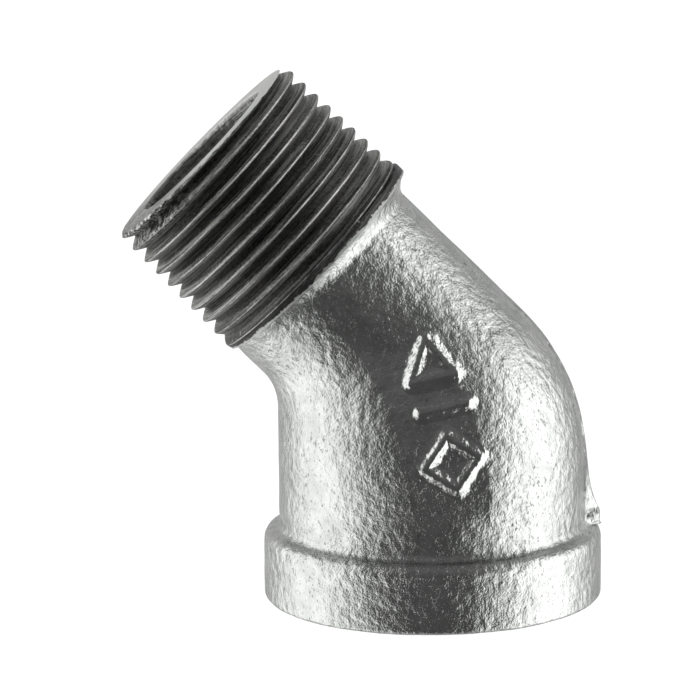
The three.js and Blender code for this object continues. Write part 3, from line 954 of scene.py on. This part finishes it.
def skin_depth(body, x, z, near):
    """Where the body's near side is along Y, at those points of a grid that are near a stroke."""
    tree = BVHTree.FromPolygons(
        [v.co for v in body.data.vertices], [p.vertices[:] for p in body.data.polygons]
    )
    y = np.zeros(x.shape)
    for i, j in np.argwhere(near):
        hit = tree.ray_cast(Vector((x[i, j], -2 * BAND_RADIUS, z[i, j])) * MM, Vector((0, 1, 0)))
        y[i, j] = hit[0].y / MM
    return y


def smooth_skin(x, y, z, near):
    """A smooth curved surface through the near points: its place along Y, and its normals."""
    terms = np.stack([np.ones(x.shape), x, z, x * x, x * z, z * z], axis=-1)
    fit = np.linalg.lstsq(terms[near], y[near], rcond=None)[0]
    slope_x = fit[1] + 2 * fit[3] * x + fit[4] * z
    slope_z = fit[2] + fit[4] * x + 2 * fit[5] * z
    normal = np.stack([slope_x, -np.ones(x.shape), slope_z], axis=-1)
    return terms @ fit, normal / np.linalg.norm(normal, axis=-1, keepdims=True)


def slab_faces(inside):
    """Faces of a closed slab over the grid cells that are wholly inside. The points of its
    underside come after those of its top."""
    index = np.arange(inside.size).reshape(inside.shape)
    cells = np.stack([index[:-1, :-1], index[:-1, 1:], index[1:, 1:], index[1:, :-1]], axis=-1)
    cells = cells[inside[:-1, :-1] & inside[:-1, 1:] & inside[1:, 1:] & inside[1:, :-1]]
    tops = cells.tolist()
    edges = dict.fromkeys(pair for cell in tops for pair in zip(cell, cell[1:] + cell[:1]))
    border = [(a, b) for a, b in edges if (b, a) not in edges]
    shift = inside.size
    return [
        *tops,
        *(cells[:, ::-1] + shift).tolist(),
        *([b, a, a + shift, b + shift] for a, b in border),
    ]


def raised_mark(node, distance, body, zinc):
    """A mark raised on the body's near side, with rounded strokes that blend into the casting."""
    centre, half = mark_place(node, distance)
    line = np.arange(-half, half, MARK_SPACING)
    across, up = np.meshgrid(line, line)
    from_stroke = distance(across, up)
    cosine, sine = math.cos(MARK_TILT), math.sin(MARK_TILT)
    x = centre.x + across * cosine - up * sine
    z = centre.z + across * sine + up * cosine

    near = from_stroke < MARK_REACH + 2 * MARK_SPACING
    y = skin_depth(body, x, z, near)
    smooth, normal = smooth_skin(x, y, z, near)
    rise = 1 / (1 + (from_stroke / MARK_STROKE) ** MARK_ROUNDING)
    edge = 1 / (1 + (MARK_REACH / MARK_STROKE) ** MARK_ROUNDING)
    height = MARK_HEIGHT * (rise - edge) / (1 - edge) - MARK_SUNK * (1 - rise)
    y = y + (smooth - y) * MARK_SMOOTHING * rise
    skin = np.stack([x, y, z], axis=-1)
    top = skin + normal * height[..., None]
    under = skin - normal * MARK_UNDERSIDE

    mesh = bpy.data.meshes.new(node + "_relief")
    points = np.concatenate([top.reshape(-1, 3), under.reshape(-1, 3)]) * MM
    mesh.from_pydata(points.tolist(), [], slab_faces(from_stroke < MARK_REACH))
    clean_mesh(mesh)
    relief = mesh.attributes.new("relief", "FLOAT", "POINT")
    relief.data.foreach_set("value", np.ones(len(mesh.vertices), np.float32))
    mesh.materials.append(zinc)
    return place(node + "_relief", mesh)


def clean_mesh(mesh):
    """Drops points that no face uses, and shades the rest smooth but for its sharp edges."""
    build = bmesh.new()
    build.from_mesh(mesh)
    bmesh.ops.delete(build, geom=[v for v in build.verts if not v.link_faces], context="VERTS")
    build.to_mesh(mesh)
    build.free()
    mesh.shade_smooth()
    mesh.set_sharp_from_angle(angle=math.radians(CREASE))


grain = grain_group()
zinc = zinc_material(grain)
iron = thread_material(grain)
skin_tree = sand_cast_tree()
thread_tree = taper_thread_tree()

pieces = {
    "cast_body": cast_body(skin_tree, zinc),
    "socket_band": socket_band(skin_tree, zinc),
    "thread_shoulder": thread_shoulder(skin_tree, zinc),
    "male_thread": male_thread(thread_tree, iron),
    "female_thread": female_thread(thread_tree, iron),
}
for node, distance in {
    "mark_lozenge": lozenge_distance, "mark_bar": bar_distance, "mark_triangle": triangle_distance,
}.items():
    pieces[node] = raised_mark(node, distance, pieces["cast_body"], zinc)

for node, piece in pieces.items():
    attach(piece, "root")
    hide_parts(node)

# ---------------------------------------------------------------- stage, lights and camera

MIDDLE = (cad_box[0] + cad_box[1]) / 2

FLOOR_GREY = (0.5, 0.5, 0.5, 1)
FLOOR_GLOW = 0.9
ROOM_WHITE = (0.99, 1.0, 0.985, 1)
LEVEL = 12.0  # degrees that the view looks down, so an upright wall mirrors this much below level
LEFT_SLANT = 0.6  # degrees that each soft box's inner edge leans, for each degree up or down
RIGHT_SLANT = 0.5
LEFT_LIGHT = 1.45
RIGHT_LIGHT = 1.7
DARK_FRONT = 0.078
BACK_WALL = 0.5

CAMERA_AZIMUTH = 0.6  # degrees to the right of straight ahead
CAMERA_ELEVATION = 11.85
CAMERA_ROLL = -0.66
CAMERA_DISTANCE = 0.485  # metres
CAMERA_LENS = 228.7
AIM_LEFT = 8.83  # how far the middle of the view is to the left of the socket's axis
AIM_HEIGHT = 27.3


def floor():
    """A pale floor that is seen from above only, and that the object doesn't mirror."""
    bpy.ops.mesh.primitive_plane_add(size=8)
    plane = bpy.context.object
    plane.name = "floor"
    material, s, shader = new_material("floor_paint")
    s.feed(shader.inputs["Base Color"], FLOOR_GREY)
    s.feed(shader.inputs["Roughness"], 0.9)
    s.feed(shader.inputs["Emission Color"], (1, 1, 1, 1))
    s.feed(shader.inputs["Emission Strength"], FLOOR_GLOW)
    behind = s.node("ShaderNodeNewGeometry", out="node").outputs["Backfacing"]
    clear = s.node("ShaderNodeBsdfTransparent")
    surface = s.node("ShaderNodeMixShader", behind, shader.outputs["BSDF"], clear)
    s.feed(material.node_tree.nodes["Material Output"].inputs["Surface"], surface)
    plane.data.materials.append(material)
    plane.visible_glossy = False
    plane.visible_diffuse = False
    plane.visible_shadow = False


def softbox(name, azimuth, elevation, distance, width, height, power):
    """A flat soft light that faces the object. Azimuth 0 is in front, 90 to the right."""
    a, e = math.radians(azimuth), math.radians(elevation)
    towards = Vector((math.sin(a) * math.cos(e), -math.cos(a) * math.cos(e), math.sin(e)))
    light = bpy.data.lights.new(name, "AREA")
    light.shape = "RECTANGLE"
    light.size, light.size_y = width, height
    light.energy = power
    lamp = bpy.data.objects.new(name, light)
    bpy.context.scene.collection.objects.link(lamp)
    lamp.location = MIDDLE + towards * distance
    lamp.rotation_euler = towards.to_track_quat("Z", "Y").to_euler()


def studio():
    """A tall soft box on either side, dark ahead and above, and a grey wall behind.

    The object mirrors them, and the camera itself sees plain white. Ramps run over degrees:
    turn is 0 in front of the object and 90 on its right, and rise is 90 overhead.
    """
    softbox(
        "right_softbox", azimuth=97, elevation=10, distance=1.0, width=0.5, height=0.5, power=0.4
    )
    world = bpy.data.worlds.new("studio")
    world.use_nodes = True
    s = Sheet(world.node_tree)
    way = s.node("ShaderNodeTexCoord", out="node").outputs["Generated"]
    parts = s.node("ShaderNodeSeparateXYZ", way, out="node").outputs
    turn = s.mul(s.math("ARCTAN2", parts["X"], s.mul(parts["Y"], -1.0)), 180 / math.pi)
    rise = s.mul(s.math("ARCSINE", parts["Z"]), 180 / math.pi)
    above = s.add(rise, LEVEL)
    left_slant = s.mul(s.low(above, 0.0), LEFT_SLANT)
    right_slant = s.mul(s.high(above, 0.0), RIGHT_SLANT)
    left = s.mul(
        s.ramp(turn, -146, -122, 0.0, 1.0, "SMOOTHSTEP"),
        s.ramp(s.add(turn, left_slant), -80, -43, 1.0, 0.0, "SMOOTHSTEP"),
    )
    right = s.mul(
        s.ramp(s.sub(turn, right_slant), 43, 58, 0.0, 1.0, "SMOOTHSTEP"),
        s.ramp(turn, 112, 132, 1.0, 0.0, "SMOOTHSTEP"),
    )
    tall = s.mul(
        s.ramp(rise, -75, -40, 0.25, 1.0, "SMOOTHSTEP"),
        s.ramp(rise, 39, 52, 1.0, 0.1, "SMOOTHSTEP"),
    )
    back = s.ramp(s.math("ABSOLUTE", turn), 95, 175, 0.0, BACK_WALL, "SMOOTHSTEP")
    back = s.mul(back, s.ramp(rise, 18, 40, 1.0, 0.2, "SMOOTHSTEP"))
    light = s.add(s.mul(left, LEFT_LIGHT), s.mul(right, RIGHT_LIGHT))
    front = s.ramp(above, 10, 50, DARK_FRONT, DARK_FRONT * 1.6)
    light = s.high(s.mul(light, tall), s.add(back, front))
    seen = s.node("ShaderNodeLightPath", out="node").outputs["Is Camera Ray"]
    background = world.node_tree.nodes["Background"]
    background.inputs["Color"].default_value = ROOM_WHITE
    s.feed(background.inputs["Strength"], s.high(light, seen))
    bpy.context.scene.world = world


def camera():
    """A long lens, a little above the object, that looks at it almost square on."""
    azimuth, elevation = math.radians(CAMERA_AZIMUTH), math.radians(CAMERA_ELEVATION)
    back = Vector((
        math.sin(azimuth) * math.cos(elevation),
        -math.cos(azimuth) * math.cos(elevation),
        math.sin(elevation),
    ))
    lens = bpy.data.cameras.new("camera")
    lens.lens = CAMERA_LENS
    lens.sensor_width = 36
    lens.clip_start, lens.clip_end = 0.05, 20
    eye = bpy.data.objects.new("camera", lens)
    bpy.context.scene.collection.objects.link(eye)
    aim = Vector((AXIS_X - AIM_LEFT, 0, AIM_HEIGHT)) * MM
    eye.location = aim + back * CAMERA_DISTANCE
    level = back.to_track_quat("Z", "Y").to_matrix()
    roll = Matrix.Rotation(math.radians(CAMERA_ROLL), 3, "Z")
    eye.rotation_euler = (level @ roll).to_euler()
    bpy.context.scene.camera = eye


floor()
studio()
camera()
bpy.context.scene.view_settings.view_transform = "Standard"
